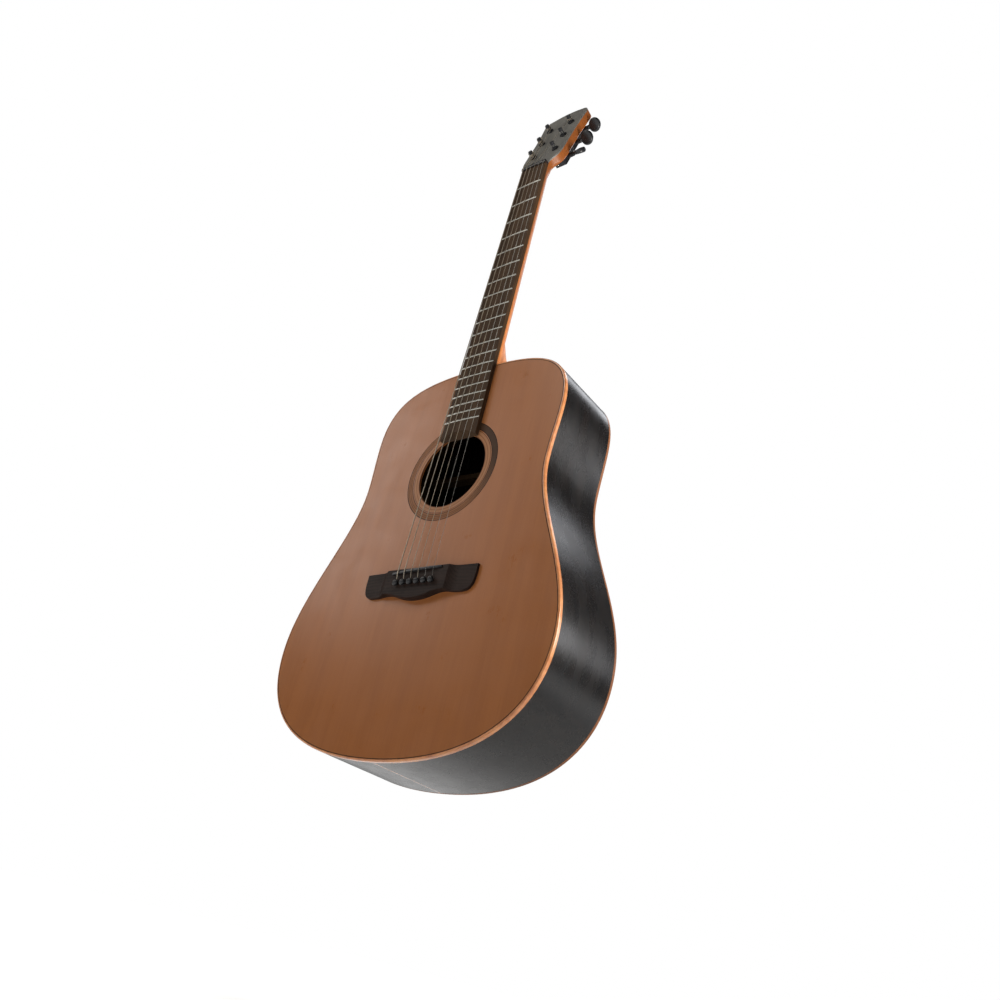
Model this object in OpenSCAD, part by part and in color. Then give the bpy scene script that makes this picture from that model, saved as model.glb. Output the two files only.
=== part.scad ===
// Six-string acoustic guitar, made of the pieces it is glued and bolted together from.
// Frame: +Z runs up the neck, Y = 0 is the soundboard's face and it looks along -Y,
// X = 0 is the centre line with the treble side at +X, and Z = 0 is the tail end.

/* [Body] */
// Length of the body, tail to neck joint
body_len = 503; // [496:1:510]
// Full width of the lower bout
lower_w = 405; // [398:1:410]
// Full width of the waist
waist_w = 284; // [278:1:290]
// Full width of the upper bout
upper_w = 294; // [288:1:300]
// Height of the lower bout's widest line above the tail
lower_z = 135; // [130:1:140]
// Height of the waist above the tail
waist_z = 340; // [336:1:344]
// Height of the upper bout's widest line above the tail
upper_z = 418; // [414:1:422]
// Depth of the body on the centre line at the tail
tail_depth = 119.5; // [114:0.5:124]
// Depth of the body on the centre line at the neck joint
neck_depth = 102.5; // [98:0.5:106]
// Radius of the arch across the back
arch_r = 4600; // [4400:100:5000]
// Radius of the soundhole
hole_r = 50; // [49:0.5:51]
// Height of the soundhole's centre above the tail
hole_z = 349.5; // [348:0.5:352]

/* [Plates and trim] */
// Thickness of the soundboard
top_t = 2.8; // [2.6:0.1:3]
// Thickness of the back
back_t = 2.6; // [2.4:0.1:3]
// Width of the wood binding, which is also the thickness of the sides
bind_w = 2.3; // [2:0.1:2.6]
// Depth of the wood binding down the side
bind_d = 5; // [5:0.5:6.2]
// Width of the purfling line inside the front binding
purf_w = 1; // [0.8:0.1:1.4]
// Depth of the purfling and of the rosette rings
inlay_t = 1.3; // [1:0.1:1.6]
// Outer radius of the rosette
rosette_r = 68.6; // [67:0.1:70]

/* [Neck] */
// Vibrating length of the strings
scale_len = 650; // [648:0.5:652]
// Number of frets
fret_count = 20; // [18:1:20]
// Width of the fingerboard at the nut
nut_w = 42; // [42:0.5:44]
// Width of the fingerboard at the neck joint
joint_w = 53.5; // [53:0.5:55]
// Thickness of the fingerboard on its centre line
board_t = 7; // [6.5:0.1:7]
// Radius of the fingerboard's arch
board_r = 400; // [380:10:420]
// Height of a fret's crown above the fingerboard
fret_h = 1; // [0.9:0.05:1.1]
// Depth of the neck's wood behind the fingerboard at the nut
shaft_d = 14.5; // [14.5:0.1:15.5]

/* [Headstock] */
// Angle that the headstock tilts back
head_tilt = 13; // [13:0.5:15]
// Length of the headstock along its face
head_len = 160; // [160:1:166]
// Thickness of the headstock's wood
head_t = 13; // [13:0.1:14]
// Thickness of the headstock's face veneer
veneer_t = 2; // [1.8:0.1:2.2]
// Distance of the tuner posts from the centre line
post_x = 19.5; // [19:0.1:20.5]
// Distance of the first pair of posts from the nut
post_s = 38; // [36:0.5:40]
// Distance between pairs of posts
post_step = 40; // [39:0.5:41]
// Turn of each string's tuner button at rest, thickest string first
button_turns = [25, 65, 140, 58, 62, 158]; // [0:1:180]

/* [Bridge and strings] */
// Length of the bridge
bridge_l = 167; // [166:1:174]
// Height of the bridge at its middle
bridge_h = 9; // [8.6:0.1:9.2]
// Distance between strings at the saddle
pitch_saddle = 10.8; // [10.7:0.1:11.2]
// Distance between strings at the nut
pitch_nut = 7.2; // [7:0.1:7.2]
// Gap between the strings and the fret crowns at the nut
nut_action = 0.5; // [0.4:0.1:0.7]
// Height of a string's underside over the soundboard at the saddle
saddle_h = 12.1; // [11.8:0.1:12.4]

/* [Hidden] */
$fn = 48;
fit = 0.05;             // clearance of a piece that moves in its hole
big = 400;              // longer than anything it has to cut through

// colours
cedar = "#a87a55";
black = "#16171a";
copper_wood = "#b06a3c";
rosewood = "#3a2a22";
mahogany = "#a9602f";
spruce = "#d9bf93";
gunmetal = "#222428";
steel = "#b8bbc0";
bronze = "#a97b4a";

// ---- body outline -------------------------------------------------------------------
outline_n = 16;         // straight stretches in each of the four curves of a half outline
// lengths of the curves' handles, in order from the tail to the neck joint
tail_reach = 137;
tail_lift = 83.5;
hip_rise = 72;
waist_drop = 64;
waist_rise = 24;
shoulder_lift = 70;
shoulder_reach = 96;

function bezier(a, b, c, d, n) = [
    for (i = [0 : n - 1])
        let (t = i / n, u = 1 - t)
        u * u * u * a + 3 * u * u * t * b + 3 * u * t * t * c + t * t * t * d
];

lower_pt = [lower_w / 2, lower_z];
waist_pt = [waist_w / 2, waist_z];
upper_pt = [upper_w / 2, upper_z];
half_outline = concat(
    bezier([0, 0], [tail_reach, 0], lower_pt - [0, tail_lift], lower_pt, outline_n),
    bezier(lower_pt, lower_pt + [0, hip_rise], waist_pt - [0, waist_drop], waist_pt, outline_n),
    bezier(waist_pt, waist_pt + [0, waist_rise], upper_pt - [0, waist_rise], upper_pt, outline_n),
    bezier(upper_pt, upper_pt + [0, shoulder_lift], [shoulder_reach, body_len], [0, body_len], outline_n),
    [[0, body_len]]
);

function mirrored(points) = concat(
    points,
    [for (i = [len(points) - 1 : -1 : 0]) if (points[i].x > 0.001) [-points[i].x, points[i].y]]
);

// the body's outline, moved in by d
module outline(d = 0) offset(delta = -d) polygon(mirrored(half_outline));

module rim(d0, d1) difference() {
    outline(d0);
    outline(d1);
}

// a flat shape drawn in X and Z, given thickness from y0 back to y1
module plate(y0, y1) translate([0, y1, 0]) rotate([90, 0, 0]) linear_extrude(y1 - y0) children();

back_tilt = atan((tail_depth - neck_depth) / body_len);
arch_fn = 720;

// everything in front of the back's outer face moved in by d
module before_back(d = 0)
    translate([0, tail_depth, 0]) rotate([back_tilt, 0, 0])
        translate([0, -arch_r, -60]) cylinder(r = arch_r - d, h = body_len + 120, $fn = arch_fn);

// the layer between two depths under the back's outer face
module back_layer(d0, d1) intersection() {
    difference() {
        before_back(d0);
        before_back(d1);
    }
    plate(0, tail_depth + 10) children();
}

// ---- blocks, linings and braces -----------------------------------------------------
lining_w = 6;           // how far the linings stand in from the sides
lining_d = 14;          // how far the linings reach down the sides
neck_block_w = 76;
neck_block_l = 44;
end_block_w = 72;
end_block_l = 20;
graft_w = 1.6;
brace_w = 7.5;
brace_h = 14;
x_centre_z = 278;
x_angle = 49;           // of each leg from the centre line
brace_reach = bind_w + lining_w;
rod_y = 8.8;            // depth of the truss rod's axis below the soundboard's face
rod_r = 2.5;
rod_nut_r = 4;
key_r = 5;              // hole through which the key reaches the truss rod nut
bolt_r = 3;
bolt_ys = [36, 72];
bolt_tip_z = body_len + 14;
block_z = body_len - bind_w - neck_block_l;

module block(w, z0, z1) plate(top_t, tail_depth + 10) translate([-w / 2, z0]) square([w, z1 - z0]);
module neck_block_space() block(neck_block_w, block_z, body_len);
module end_block_space() block(end_block_w, 0, bind_w + end_block_l);

// a bar under the soundboard through (x, z), turned by an angle from the centre line
module top_bar(x, z, angle, length, w, h)
    plate(top_t, top_t + h) translate([x, z]) rotate(angle) translate([-w / 2, -length / 2])
        square([w, length]);

module inside_rim() plate(0, tail_depth + 10) outline(brace_reach);

module x_leg(side) top_bar(0, x_centre_z, side * x_angle, 560, brace_w, brace_h);

module x_braces() color(spruce) for (side = [-1, 1]) difference() {
    intersection() {
        x_leg(side);
        inside_rim();
        plate(0, 30) translate([-big / 2, x_centre_z - 165]) square([big, 290]);
    }
    // half lap where the legs cross
    translate([0, side * brace_h / 2, 0])
        top_bar(0, x_centre_z, -side * x_angle, 40, brace_w + 0.1, brace_h + 0.1);
}

tone_bar_h = 10;

// two slanting bars in the lower bout and two short fingers on each side
module tone_bars() color(spruce) difference() {
    intersection() {
        union() {
            top_bar(12, 122, 62, 150, brace_w - 1, tone_bar_h);
            top_bar(16, 72, 66, 150, brace_w - 1, tone_bar_h);
            for (side = [-1, 1], k = [0, 1])
                top_bar(side * 139, 226 - k * 46, side * (74 + 5 * k), 58, brace_w - 2, tone_bar_h - 2);
        }
        inside_rim();
    }
    for (side = [-1, 1]) top_bar(0, x_centre_z, side * x_angle, 560, brace_w + 0.2, brace_h);
    end_block_space();
}

upper_brace_z = hole_z + hole_r + 18;

module upper_brace() color(spruce) difference() {
    intersection() {
        top_bar(0, upper_brace_z, 90, big, 12, brace_h);
        inside_rim();
    }
    translate([0, rod_y, 0]) cylinder(r = key_r, h = body_len);
    for (side = [-1, 1]) top_bar(0, x_centre_z, side * x_angle, 560, brace_w + 0.2, brace_h);
}

module bridge_plate() color(rosewood) difference() {
    plate(top_t, top_t + 2.5) polygon([[-62, 178], [62, 178], [58, 222], [-58, 222]]);
    for (side = [-1, 1]) top_bar(0, x_centre_z, side * x_angle, 560, brace_w + 0.2, brace_h);
    pin_holes();
}

back_brace_zs = [70, 168, 286, 404];
back_brace_h = 14;
strip_t = 2;

module across_back(z, w) translate([-big / 2, z - w / 2]) square([big, w]);

module back_braces() color(spruce) back_layer(back_t, back_t + back_brace_h) intersection() {
    for (z = back_brace_zs) across_back(z, brace_w);
    outline(brace_reach);
}

module back_seam_strip() color(spruce) back_layer(back_t, back_t + strip_t) difference() {
    translate([-8, bind_w + end_block_l + 0.5]) square([16, block_z - bind_w - end_block_l - 1]);
    for (z = back_brace_zs) across_back(z, brace_w);
}

module neck_block() color(mahogany) difference() {
    intersection() {
        neck_block_space();
        before_back(back_t);
        plate(0, tail_depth + 10) outline(bind_w);
    }
    translate([0, rod_y, 0]) cylinder(r = key_r, h = body_len);
    for (y = bolt_ys) translate([0, y, 0]) cylinder(r = bolt_r + fit, h = body_len);
}

module end_block() color(mahogany) intersection() {
    end_block_space();
    before_back(back_t);
    plate(0, tail_depth + 10) outline(bind_w);
}

module lining_top() color(spruce) difference() {
    plate(top_t, top_t + lining_d) rim(bind_w, bind_w + lining_w);
    neck_block_space();
    end_block_space();
}

module lining_back() color(spruce) difference() {
    back_layer(back_t, back_t + lining_d) rim(bind_w, bind_w + lining_w);
    neck_block_space();
    end_block_space();
}

// ---- body shell ---------------------------------------------------------------------
ring_gap = 1;           // strip of soundboard between the two rosette rings
inner_ring_r = hole_r + 8.5;

module hole_cut(r, y0, y1) plate(y0, y1) translate([0, hole_z]) circle(r, $fn = 180);

module soundboard() color(cedar) difference() {
    union() {
        plate(0, inlay_t) outline(bind_w + purf_w);
        plate(inlay_t, top_t) outline(bind_w);
    }
    hole_cut(hole_r, -1, top_t + 1);
    rosette_ring(hole_r - 1, inner_ring_r);
    rosette_ring(inner_ring_r + ring_gap, rosette_r);
    pin_holes();
}

module rosette_ring(r0, r1) difference() {
    hole_cut(r1, 0, inlay_t);
    hole_cut(r0, -1, inlay_t + 1);
}

module rosette_inner() color(spruce) rosette_ring(hole_r, inner_ring_r);

module rosette_outer() color(rosewood) rosette_ring(inner_ring_r + ring_gap, rosette_r);

module purfling_top() color(rosewood) plate(0, inlay_t) rim(bind_w, bind_w + purf_w);

module binding_top() color(copper_wood) plate(0, bind_d) rim(0, bind_w);

module binding_back() color(copper_wood) back_layer(0, bind_d) rim(0, bind_w);

module back_plate() color(black) back_layer(0, back_t) outline(bind_w);

module rim_strip() intersection() {
    plate(bind_d, tail_depth + 10) rim(0, bind_w);
    before_back(bind_d);
}

module graft_space() plate(0, tail_depth + 10) translate([-graft_w / 2, -1]) square([graft_w, 30]);

module side(way) color(black) difference() {
    intersection() {
        rim_strip();
        plate(0, tail_depth + 10) translate([way > 0 ? 0 : -big, -1]) square([big, body_len + 2]);
    }
    graft_space();
    translate([0, rod_y, block_z]) cylinder(r = rod_r + fit, h = big);
    for (y = bolt_ys) translate([0, y, block_z]) cylinder(r = bolt_r + fit, h = big);
}

module side_bass() side(-1);
module side_treble() side(1);

module end_graft() color(copper_wood) intersection() {
    rim_strip();
    graft_space();
}

// ---- neck ---------------------------------------------------------------------------
joint_fret = 14;
nut_t = 5;

function fret_z(n) = nut_z - scale_len * (1 - pow(2, -n / 12));
nut_z = body_len + scale_len * (1 - pow(2, -joint_fret / 12));
head_z = nut_z + nut_t;
board_end_r = hole_r + 2;
board_end_z = hole_z + 36;
function board_w(z) = nut_w + (joint_w - nut_w) * (nut_z - z) / (nut_z - body_len);
function arch_drop(x) = board_r - sqrt(board_r * board_r - x * x);

shaft_joint_d = 16.5;   // depth of the neck's wood where the heel begins
shaft_low_z = body_len + 40;
heel_depth = neck_depth - 3;
// depth, width and reach of the heel's level slices
heel_slices = [[-1, joint_w, 66], [17, 47, 56], [27, 40, 33], [50, 33, 24], [heel_depth, 25, 19]];

// a half oval of full width w and depth d, with a little to spare in front of Y = 0
module d_section(w, d) intersection() {
    scale([w / 2, d]) circle(1, $fn = 40);
    translate([-w, -1]) square([2 * w, 2 * d]);
}

module shaft_slice(z, d) translate([0, 0, z]) linear_extrude(0.1) d_section(board_w(z), d);

module heel_slice(s) plate(s[0], s[0] + 0.1) translate([0, body_len - 3]) intersection() {
    scale([s[1] / 2, s[2] + 3]) circle(1, $fn = 40);
    translate([-s[1], 0]) square([2 * s[1], 2 * s[2] + 6]);
}

// places children on the headstock: Z runs up its face, Y = 0 is the wood's front
module on_head() translate([0, 0, head_z]) rotate([-head_tilt, 0, 0]) children();

function head_point(p) = [
    p.x,
    p.y * cos(head_tilt) + p.z * sin(head_tilt),
    head_z - p.y * sin(head_tilt) + p.z * cos(head_tilt)
];

head_corner = 6;        // radius of the headstock's top corners
head_half = [
    [nut_w / 2 - 0.5, -2], [nut_w / 2 + 1, 4], [29, 13], [33.5, 24], [35, 32], [35, 85], [36.4, 115],
    [40.5, head_len - 7], [0, head_len]
];

module head_shape() offset(head_corner) offset(-head_corner) polygon(mirrored(head_half));

module at_posts() for (i = [1 : 6]) translate(post_at(i)) children();

// string 1 is the thickest, on the bass side; string 6 is the thinnest
function hand(i) = i <= 3 ? -1 : 1;
function post_row(i) = i <= 3 ? i - 1 : 6 - i;
function post_at(i) = [hand(i) * post_x, 0, post_s + post_row(i) * post_step];

bushing_hole_r = 4.4;

module bushing_bores() on_head() at_posts() rotate([90, 0, 0])
    translate([0, 0, -head_t - 1]) cylinder(r = bushing_hole_r, h = head_t + veneer_t + 2);

module neck() color(mahogany) difference() {
    union() {
        hull() {
            shaft_slice(head_z - 0.1, shaft_d);
            shaft_slice(shaft_low_z, shaft_joint_d);
        }
        for (k = [0 : len(heel_slices) - 2]) hull() {
            heel_slice(heel_slices[k]);
            heel_slice(heel_slices[k + 1]);
        }
        hull() {
            shaft_slice(head_z - 16, shaft_d);
            on_head() plate(0.1, head_t - 0.1) intersection() {
                translate([-26, 0]) square([52, 12]);
                head_shape();
            }
        }
        on_head() plate(0, head_t) head_shape();
    }
    plate(0, tail_depth) outline();
    translate([0, rod_y, 0]) cylinder(r = rod_r, h = rod_top_z);
    for (y = bolt_ys) translate([0, y, 0]) cylinder(r = bolt_r + fit, h = bolt_tip_z + 1);
    bushing_bores();
    for (i = [1 : 6]) at_post(i) along_front(head_t + 1) translate([0, screw_s, 0])
        cylinder(r = screw_r, h = 8);
    translate([-nut_w, -10, 0]) cube([2 * nut_w, 10, head_z - 0.1]);
}

module heel_cap() color(copper_wood) difference() {
    translate([0, 0.1, 0]) intersection() {
        plate(heel_depth, heel_depth + 2) translate([0, body_len - 3])
            scale([heel_slices[4][1] / 2, heel_slices[4][2] + 3]) circle(1, $fn = 40);
        translate([-50, 0, body_len]) cube([100, tail_depth, 40]);
    }
    plate(0, tail_depth) outline();
}

module headstock_veneer() color(gunmetal) difference() {
    on_head() intersection() {
        plate(-veneer_t, 0) head_shape();
        translate([-50, -10, 0]) cube([100, 20, head_len + 10]);
    }
    bushing_bores();
}

// everything behind the fingerboard's arched face moved out by h
module behind_arch(h = 0)
    translate([0, board_r - board_t, 300]) cylinder(r = board_r + h, h = 620, $fn = 720);

module board_shape() polygon([
    [-board_w(board_end_z) / 2, board_end_z], [board_w(board_end_z) / 2, board_end_z],
    [nut_w / 2, nut_z], [-nut_w / 2, nut_z]
]);

tang_t = 0.6;
tang_d = 2;
crown_w = 2.4;
seat_gap = 0.005;       // between a crown's underside and the fingerboard

module fret_slots() for (n = [1 : fret_count])
    translate([-50, -board_t - 2, fret_z(n) - tang_t / 2]) cube([100, 2 + tang_d, tang_t]);

module fingerboard() color(rosewood) difference() {
    intersection() {
        plate(-board_t - 2, 0) board_shape();
        behind_arch();
    }
    hole_cut(board_end_r, -20, 1);
    fret_slots();
    at_side_dots() cylinder(r = dot_r, h = 1.5);
}

dot_r = 1;
dot_frets = [3, 5, 7, 9, 12, 15, 17];

function dot_z(n) = (fret_z(n) + fret_z(n - 1)) / 2;

module at_side_dots() for (n = dot_frets)
    translate([-board_w(dot_z(n)) / 2 - 0.02, -board_t / 2, dot_z(n)]) rotate([0, 90, 0]) children();

module side_dots() color("ivory") at_side_dots() cylinder(r = dot_r, h = 1.4);

crown_bend = (fret_h * fret_h + crown_w * crown_w / 4) / (2 * fret_h);

// a rounded crown that follows the fingerboard's arch
module crown(z, w) {
    half_turn = asin(w / 2 / board_r);
    translate([0, board_r - board_t, z]) rotate([0, 0, -90 - half_turn])
        rotate_extrude(angle = 2 * half_turn, $fn = 720) intersection() {
            translate([board_r + fret_h - crown_bend, 0]) circle(crown_bend, $fn = 64);
            translate([board_r + seat_gap, -crown_w]) square([2 * fret_h, 2 * crown_w]);
        }
}

// each fret is a crown over a tang that fills its slot
module frets() color(steel) for (n = [1 : fret_count]) {
    z = fret_z(n);
    w = board_w(z) - 0.6;
    crown(z, w);
    intersection() {
        translate([-w / 2, -board_t - 0.2, z - tang_t / 2]) cube([w, 0.2 + tang_d, tang_t]);
        behind_arch(0.2);
    }
}

module nut() color(gunmetal) difference() {
    intersection() {
        translate([-nut_w / 2, -board_t - 3, nut_z]) cube([nut_w, board_t + 3, nut_t - 0.1]);
        behind_arch(2.1);
    }
    for (i = [1 : 6]) nut_slot(string_nut(i), string_r(i) + 0.15);
}

// an open slot of radius r under a string that crosses the nut at a point
module nut_slot(at, r) translate(at - [0, 0, nut_t]) {
    cylinder(r = r, h = 2 * nut_t, $fn = 24);
    translate([-r, -6, 0]) cube([2 * r, 6, 2 * nut_t]);
}

module truss_rod() color(steel)
    translate([0, rod_y, rod_end_z]) cylinder(r = rod_r, h = rod_top_z - rod_end_z);

rod_end_z = body_len - 14;
rod_top_z = nut_z - 12;
rod_nut_l = 18;

module truss_rod_nut() color(bronze) translate([0, rod_y, rod_end_z - 6]) difference() {
    cylinder(r = rod_nut_r, h = rod_nut_l - 2);
    translate([0, 0, 5.9]) cylinder(r = rod_r + fit, h = rod_nut_l);
    translate([0, 0, -1]) cylinder(r = 2.9, h = 6, $fn = 6);
}

module neck_bolts() color(steel) for (y = bolt_ys) translate([0, y, block_z - 5]) difference() {
    union() {
        cylinder(r = 6.5, h = 5);
        cylinder(r = bolt_r, h = bolt_tip_z - block_z + 5);
    }
    translate([0, 0, -1]) cylinder(r = 2.9, h = 4, $fn = 6);
}

// ---- bridge -------------------------------------------------------------------------
bridge_front_z = 216;
bridge_back_z = 179;
belly_z = 186.5;        // where the belly meets the wings
wing_h = 4;
saddle_z = nut_z - scale_len - 1.5;
saddle_slant = 2.6;
saddle_t = 3;
saddle_l = 76;
slot_d = 5.5;
pin_z = 198;
pin_r = 2.5;
pin_tip_y = 13;
head_base_y = -11.2;    // underside of a pin's head, clear of the string that bends below it

module bridge_outline() polygon(mirrored(concat(
    bezier([0, bridge_back_z], [22, bridge_back_z], [28, belly_z], [43, belly_z], 12),
    bezier([43, belly_z], [50, belly_z], [54, belly_z - 2], [62, belly_z - 2], 6),
    bezier([62, belly_z - 2], [80, belly_z - 3], [bridge_l / 2 + 1.5, belly_z + 2],
        [bridge_l / 2, bridge_front_z], 12),
    [[bridge_l / 2, bridge_front_z]]
)));

// height of the bridge along its length: full in the middle, scooped down to thin wings
module bridge_profile() polygon(mirrored(concat(
    [[0.01, 0.5], [bridge_l / 2 + 1, 0.5]],
    [[bridge_l / 2 + 1, -wing_h + 0.6], [66, -wing_h]],
    bezier([62, -wing_h - 0.1], [54, -wing_h - 0.6], [49, -bridge_h + 1], [47, -bridge_h], 10),
    [[47, -bridge_h], [0.01, -bridge_h]]
)));

function string_x(i, pitch) = (i - 3.5) * pitch;

module pin_holes() for (i = [1 : 6]) translate([string_x(i, pitch_saddle), 0, pin_z]) rotate([90, 0, 0])
    translate([0, 0, -20]) cylinder(r = pin_r + fit, h = 40);

module saddle_blank(grow) translate([0, 0, saddle_z]) rotate([0, -saddle_slant, 0])
    translate([-saddle_l / 2 - grow, -30, -saddle_t / 2 - grow])
        cube([saddle_l + 2 * grow, 30 - bridge_h + slot_d, saddle_t + 2 * grow]);

module bridge() color(rosewood) difference() {
    intersection() {
        plate(-bridge_h, 0) bridge_outline();
        translate([0, 0, 100]) linear_extrude(200) bridge_profile();
    }
    saddle_blank(0);
    pin_holes();
}

module saddle() color(gunmetal) intersection() {
    saddle_blank(0);
    translate([0, board_r - saddle_h + 0.03, 100]) cylinder(r = board_r, h = 200, $fn = 720);
}

// a round pin with a flute for the string on the side of the saddle, and a domed head
module bridge_pin(i) color(gunmetal)
    translate([string_x(i, pitch_saddle), 0, pin_z]) rotate([90, 0, 0]) difference() {
        union() {
            translate([0, 0, -pin_tip_y]) cylinder(r = pin_r, h = pin_tip_y - head_base_y);
            translate([0, 0, -head_base_y]) cylinder(r = 3.8, h = 1.2);
            translate([0, 0, -head_base_y + 1.2]) intersection() {
                translate([0, 0, -2.4]) sphere(r = 4.5);
                cylinder(r = 3.8, h = 4);
            }
        }
        translate([0, flute_x, -pin_tip_y - 1]) cylinder(r = flute_r, h = pin_tip_y + 1 - head_base_y);
        translate([-flute_r, flute_x, -pin_tip_y - 1])
            cube([2 * flute_r, 4, pin_tip_y + 1 - head_base_y]);
    }

flute_x = 1.75;         // distance of the flute's axis from the pin's axis
flute_r = 0.85;

// ---- strings ------------------------------------------------------------------------
diameters = [1.35, 1.07, 0.81, 0.61, 0.41, 0.31];
bend_y = -9.9;          // where a string leaves its flute and bends towards the saddle
ball_y = 7.9;
ball_r = 1.9;
post_r = 3.1;
post_top_y = -13.6;     // heights on the post are in the headstock's frame
post_hole_y = -11.4;
wrap_turns = 2.5;
wrap_y = -6;            // where the string meets the post, below its other wraps
wrap_pitch = 1.5;
coil_n = 16;            // stretches in one turn around a post

function string_r(i) = diameters[i - 1] / 2;
function string_saddle(i) = let (x = string_x(i, pitch_saddle))
    [x, -saddle_h + arch_drop(x) - string_r(i), saddle_z + x * tan(saddle_slant)];
function string_nut(i) = let (x = string_x(i, pitch_nut))
    [x, -board_t - fret_h - nut_action + arch_drop(x) - string_r(i), nut_z + nut_t / 2];

// from the ball under the bridge plate, up the pin's flute, over the saddle and the nut,
// around the post from its inner side and through the hole across it
function string_route(i) = let (x = string_x(i, pitch_saddle), r = string_r(i)) concat(
    [
        [x, ball_y, pin_z + 5],
        [x, ball_y - 1, pin_z + 2.6],
        [x, ball_y - 2.2, pin_z + flute_x],
        [x, bend_y + 0.8, pin_z + flute_x],
        [x, bend_y, pin_z + flute_x + 0.8],
        string_saddle(i) - [0, 0, 1.7],
        string_saddle(i) + [0, 0, 0.8],
        string_nut(i) - [0, 0, nut_t / 2],
        string_nut(i) + [0, 0, nut_t / 2]
    ],
    [
        for (k = [0 : wrap_turns * coil_n])
            on_post(i, coil_r(i), k / coil_n, wrap_y - wrap_pitch * k / coil_n)
    ],
    [
        on_post(i, coil_r(i) + 0.5, wrap_turns, (wrap_y - wrap_pitch * wrap_turns + post_hole_y) / 2),
        on_post(i, coil_r(i), wrap_turns, post_hole_y),
        on_post(i, -coil_r(i) - 2, wrap_turns, post_hole_y)
    ]
);

coil_gap = 0.12;        // keeps the flat stretches of a coil clear of the round post
function coil_r(i) = post_r + string_r(i) + coil_gap;

// a point beside a string's post, after some turns that start on the post's inner side
function on_post(i, r, turn, y) =
    let (a = (hand(i) < 0 ? 0 : 180) - hand(i) * 360 * turn, at = post_at(i))
        head_point([at.x + r * cos(a), y, at.z + r * sin(a)]);

function unit(v) = v / norm(v);
function carried(n, t) = unit(n - t * (n * t));
function directions(p) = [
    for (i = [0 : len(p) - 1])
        unit(
            (i < len(p) - 1 ? unit(p[i + 1] - p[i]) : [0, 0, 0])
            + (i > 0 ? unit(p[i] - p[i - 1]) : [0, 0, 0])
        )
];
function normals(t) = [
    for (i = 0, n = carried([1, 0, 0], t[0]); i < len(t);
         i = i + 1, n = i < len(t) ? carried(n, t[i]) : n) n
];

// a round tube along a list of points
module tube(p, r, sides = 8) {
    t = directions(p);
    n = normals(t);
    rings = [
        for (i = [0 : len(p) - 1], k = [0 : sides - 1])
            let (a = 360 * k / sides) p[i] + r * (cos(a) * n[i] + sin(a) * cross(t[i], n[i]))
    ];
    walls = [
        for (i = [0 : len(p) - 2], k = [0 : sides - 1])
            let (a = i * sides + k, b = i * sides + (k + 1) % sides)
            each [[b, a, a + sides], [b + sides, b, a + sides]]
    ];
    last = (len(p) - 1) * sides;
    polyhedron(rings, concat(
        [[for (k = [0 : sides - 1]) k]], walls, [[for (k = [0 : sides - 1]) last + sides - 1 - k]]
    ));
}

module string(i) color(i <= 4 ? bronze : steel) {
    tube(string_route(i), string_r(i));
    translate([string_x(i, pitch_saddle) - ball_r, ball_y, pin_z + 5]) rotate([0, 90, 0])
        cylinder(r = ball_r, h = 2 * ball_r, $fn = 24);
}

// ---- tuners -------------------------------------------------------------------------
worm_s = 7.5;           // offset of a worm's axis from its post, away from the nut
worm_y = head_t + 5.2;
gear_r = 5;
gear_teeth = 18;
worm_r = 2.4;
shaft_r = 1.9;
wall = 1.6;
case_y = head_t + 10;
case_x = 9;
case_low = -gear_r - 3.5;
case_high = worm_s + 4.6;
tab_w = 6.8;            // of the tab that the housing's screw goes through
screw_s = -17;
screw_r = 1.2;
button_x = 18.5;        // from the post's axis to the near end of the button

// places children at a post, with +X pointing out to its button
module at_post(i) on_head() translate(post_at(i)) mirror([hand(i) < 0 ? 1 : 0, 0, 0]) children();

module along_out(x, y, s) translate([x, y, s]) rotate([0, 90, 0]) children();

module along_front(y) translate([0, y, 0]) rotate([90, 0, 0]) children();

// a post along the headstock's -Y, with the gear that the worm turns inside the housing
module tuner_post(i) color(gunmetal) at_post(i) difference() {
    union() {
        along_front(case_y - wall) cylinder(r = post_r, h = case_y - wall - post_top_y);
        along_front(worm_y + 1.75) cylinder(r = gear_r, h = 3.5);
    }
    for (k = [0 : gear_teeth - 1]) rotate([0, 360 * k / gear_teeth, 0])
        translate([gear_r, 0, 0]) along_front(worm_y + 3) cylinder(r = 0.45, h = 6, $fn = 16);
    translate([-10, post_hole_y, 0]) rotate([0, 90, 0]) cylinder(r = 0.8, h = 20, $fn = 16);
}

// an oval button on a shaft whose inner end carries the worm
module tuner_button(i) color(gunmetal) at_post(i) {
    along_out(-6, worm_y, worm_s) cylinder(r = shaft_r, h = button_x + 6.5);
    for (k = [-2 : 2]) along_out(k * 1.75 - 0.45, worm_y, worm_s) cylinder(r = worm_r, h = 0.9);
    along_out(button_x - 1.5, worm_y, worm_s) cylinder(r = 3.4, h = 2);
    translate([button_x, worm_y, worm_s]) rotate([button_turns[i - 1], 0, 0]) button_shape();
}

button_l = 19;
button_w = 21;
button_t = 8;

// an oval button, thicker at its rim than at its stem
module button_shape() intersection() {
    translate([button_l / 2, button_t / 2, 0]) rotate([90, 0, 0]) linear_extrude(button_t)
        scale([button_l / 2, button_w / 2]) circle(1, $fn = 48);
    translate([0, 0, -button_w]) linear_extrude(2 * button_w)
        polygon([[0, -2.6], [button_l * 0.7, -button_t / 2], [button_l, -button_t / 2 + 0.6],
            [button_l, button_t / 2 - 0.6], [button_l * 0.7, button_t / 2], [0, 2.6]]);
}

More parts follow.
